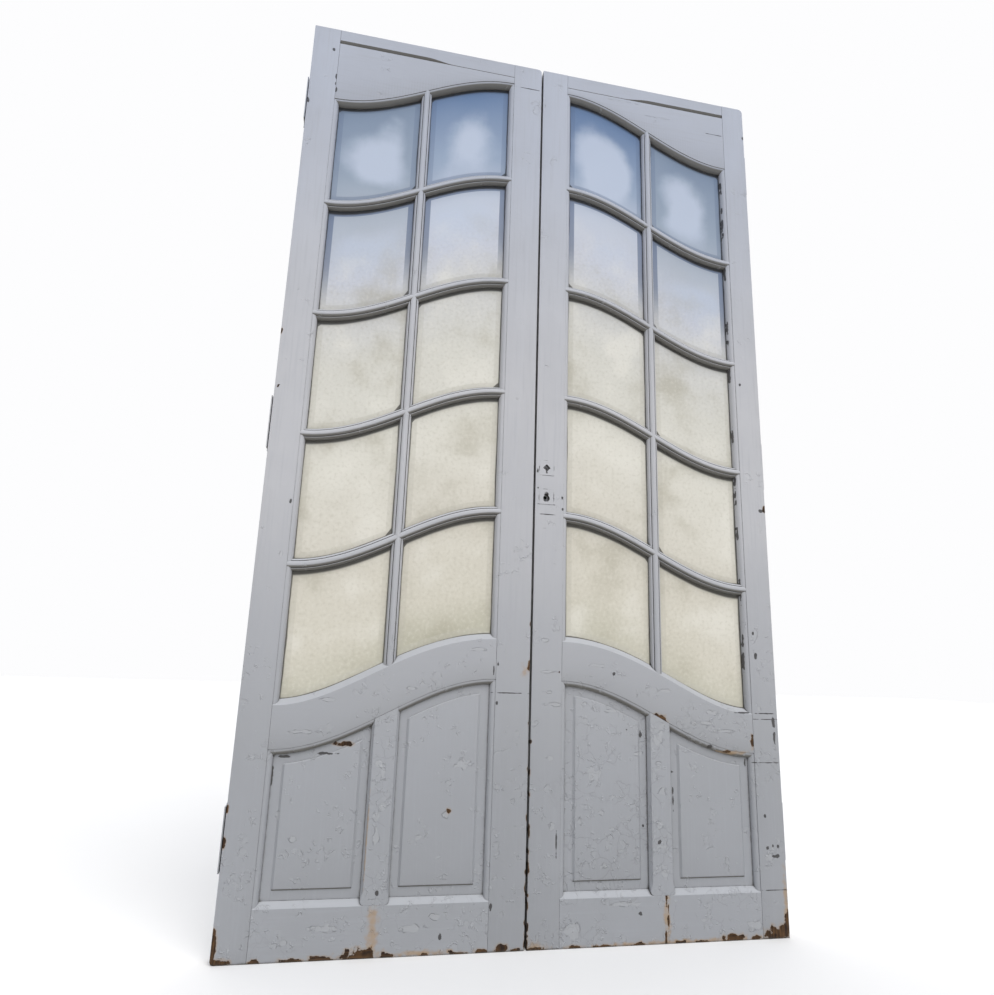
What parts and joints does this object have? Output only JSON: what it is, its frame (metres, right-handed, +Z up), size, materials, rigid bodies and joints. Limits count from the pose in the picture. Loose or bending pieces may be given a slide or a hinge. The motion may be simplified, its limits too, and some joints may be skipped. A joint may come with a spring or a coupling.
{
  "type": "french doors",
  "caption": "French doors: tall painted wooden leaves with S-curved glazing bars and bevelled panes over raised panels, swinging on lift-off hinges.",
  "frame": {"origin": "midway between the two hinge edges, level with the feet of the leaves and at half the overall depth", "axes": "+Z up along the leaves, +X from the left leaf to the right leaf, -Y out of the front faces, towards the side that has the curved mouldings; the leaves open towards +Y"},
  "size_m": [1.417, 0.0574, 2.5],
  "materials": {
    "painted_wood": "old pale grey paint, flaking",
    "pane_glass": "bevelled, dusty",
    "hinge_iron": "painted over, worn",
    "screw_steel": "dull",
    "lock_iron": "dark, lightly rusted",
    "bolt_steel": "worn",
    "painted_plate": "painted over"
  },
  "bodies": {
    "jamb_halves": {"left_hinge_jamb_halves": "hinge_iron", "right_hinge_jamb_halves": "hinge_iron"},
    "left_leaf": {"left_hinge_stile": "painted_wood", "left_meeting_stile": "painted_wood", "left_top_rail": "painted_wood", "left_spandrel": "painted_wood", "left_lock_rail": "painted_wood", "left_bottom_rail": "painted_wood", "left_panel_muntin": "painted_wood", "left_outer_panel": "painted_wood", "left_inner_panel": "painted_wood", "left_upright_bar": "painted_wood", "left_cross_bars": "painted_wood", "left_glazing_beads": "painted_wood", "left_outer_pane_1": "pane_glass", "left_outer_pane_2": "pane_glass", "left_outer_pane_3": "pane_glass", "left_outer_pane_4": "pane_glass", "left_outer_pane_5": "pane_glass", "left_inner_pane_1": "pane_glass", "left_inner_pane_2": "pane_glass", "left_inner_pane_3": "pane_glass", "left_inner_pane_4": "pane_glass", "left_inner_pane_5": "pane_glass", "left_hinge_door_halves": "hinge_iron", "left_hinge_screws": "screw_steel", "strike_plate": "lock_iron", "flush_bolt_plates": "lock_iron"},
    "right_leaf": {"right_hinge_stile": "painted_wood", "right_meeting_stile": "painted_wood", "right_top_rail": "painted_wood", "right_spandrel": "painted_wood", "right_lock_rail": "painted_wood", "right_bottom_rail": "painted_wood", "right_panel_muntin": "painted_wood", "right_outer_panel": "painted_wood", "right_inner_panel": "painted_wood", "right_upright_bar": "painted_wood", "right_cross_bars": "painted_wood", "right_glazing_beads": "painted_wood", "right_outer_pane_1": "pane_glass", "right_outer_pane_2": "pane_glass", "right_outer_pane_3": "pane_glass", "right_outer_pane_4": "pane_glass", "right_outer_pane_5": "pane_glass", "right_inner_pane_1": "pane_glass", "right_inner_pane_2": "pane_glass", "right_inner_pane_3": "pane_glass", "right_inner_pane_4": "pane_glass", "right_inner_pane_5": "pane_glass", "right_hinge_door_halves": "hinge_iron", "right_hinge_screws": "screw_steel", "lock_case": "lock_iron", "spindle_plate": "painted_plate", "keyhole_plate": "painted_plate"},
    "follower": {"follower": "lock_iron"},
    "latch_bolt": {"latch_bolt": "bolt_steel"},
    "dead_bolt": {"dead_bolt": "bolt_steel"},
    "top_flush_bolt": {"top_flush_bolt": "bolt_steel"},
    "bottom_flush_bolt": {"bottom_flush_bolt": "bolt_steel"}
  },
  "joints": [
    {"name": "left_leaf_swing", "type": "hinge", "parent": "jamb_halves", "child": "left_leaf", "pos_m": [-0.7015, 0.0217, 0], "axis": [0, 0, 1], "range_deg": [0, 110]},
    {"name": "right_leaf_swing", "type": "hinge", "parent": "jamb_halves", "child": "right_leaf", "pos_m": [0.7015, 0.0217, 0], "axis": [0, 0, -1], "range_deg": [0, 110]},
    {"name": "follower_turn", "type": "hinge", "parent": "right_leaf", "child": "follower", "pos_m": [0.039, -0.0073, 1.186], "axis": [0, 1, 0], "range_deg": [0, 30]},
    {"name": "latch_slide", "type": "slide", "parent": "right_leaf", "child": "latch_bolt", "axis": [-1, 0, 0], "range_m": [0, 0.011]},
    {"name": "dead_bolt_slide", "type": "slide", "parent": "right_leaf", "child": "dead_bolt", "axis": [-1, 0, 0], "range_m": [0, 0.014]},
    {"name": "top_flush_bolt_slide", "type": "slide", "parent": "left_leaf", "child": "top_flush_bolt", "axis": [0, 0, 1], "range_m": [0, 0.015]},
    {"name": "bottom_flush_bolt_slide", "type": "slide", "parent": "left_leaf", "child": "bottom_flush_bolt", "axis": [0, 0, -1], "range_m": [0, 0.015]}
  ],
  "couplings": [
    {"joint": "latch_slide", "follows": "follower_turn", "m_per_rad": 0.021}
  ]
}
